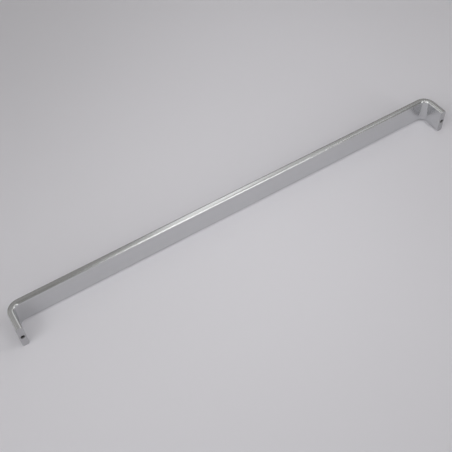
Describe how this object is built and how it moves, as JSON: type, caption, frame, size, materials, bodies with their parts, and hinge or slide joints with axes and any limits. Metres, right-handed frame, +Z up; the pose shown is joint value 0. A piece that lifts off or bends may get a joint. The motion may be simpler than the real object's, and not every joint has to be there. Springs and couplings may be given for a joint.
{
  "type": "furniture handle",
  "caption": "Long bow pull handle bent from one flat aluminium bar, with rounded long edges and a threaded screw hole in each square leg end.",
  "frame": {"origin": "on the mounting plane, half way between the centres of the two fixing holes", "axes": "+X along the grip, +Y from the mounting plane out to the grip, +Z up the bar's width"},
  "size_m": [0.454, 0.029, 0.025],
  "materials": {
    "satin_aluminium": "satin, brushed along the bar"
  },
  "bodies": {
    "root": {"handle": "satin_aluminium"}
  },
  "joints": []
}
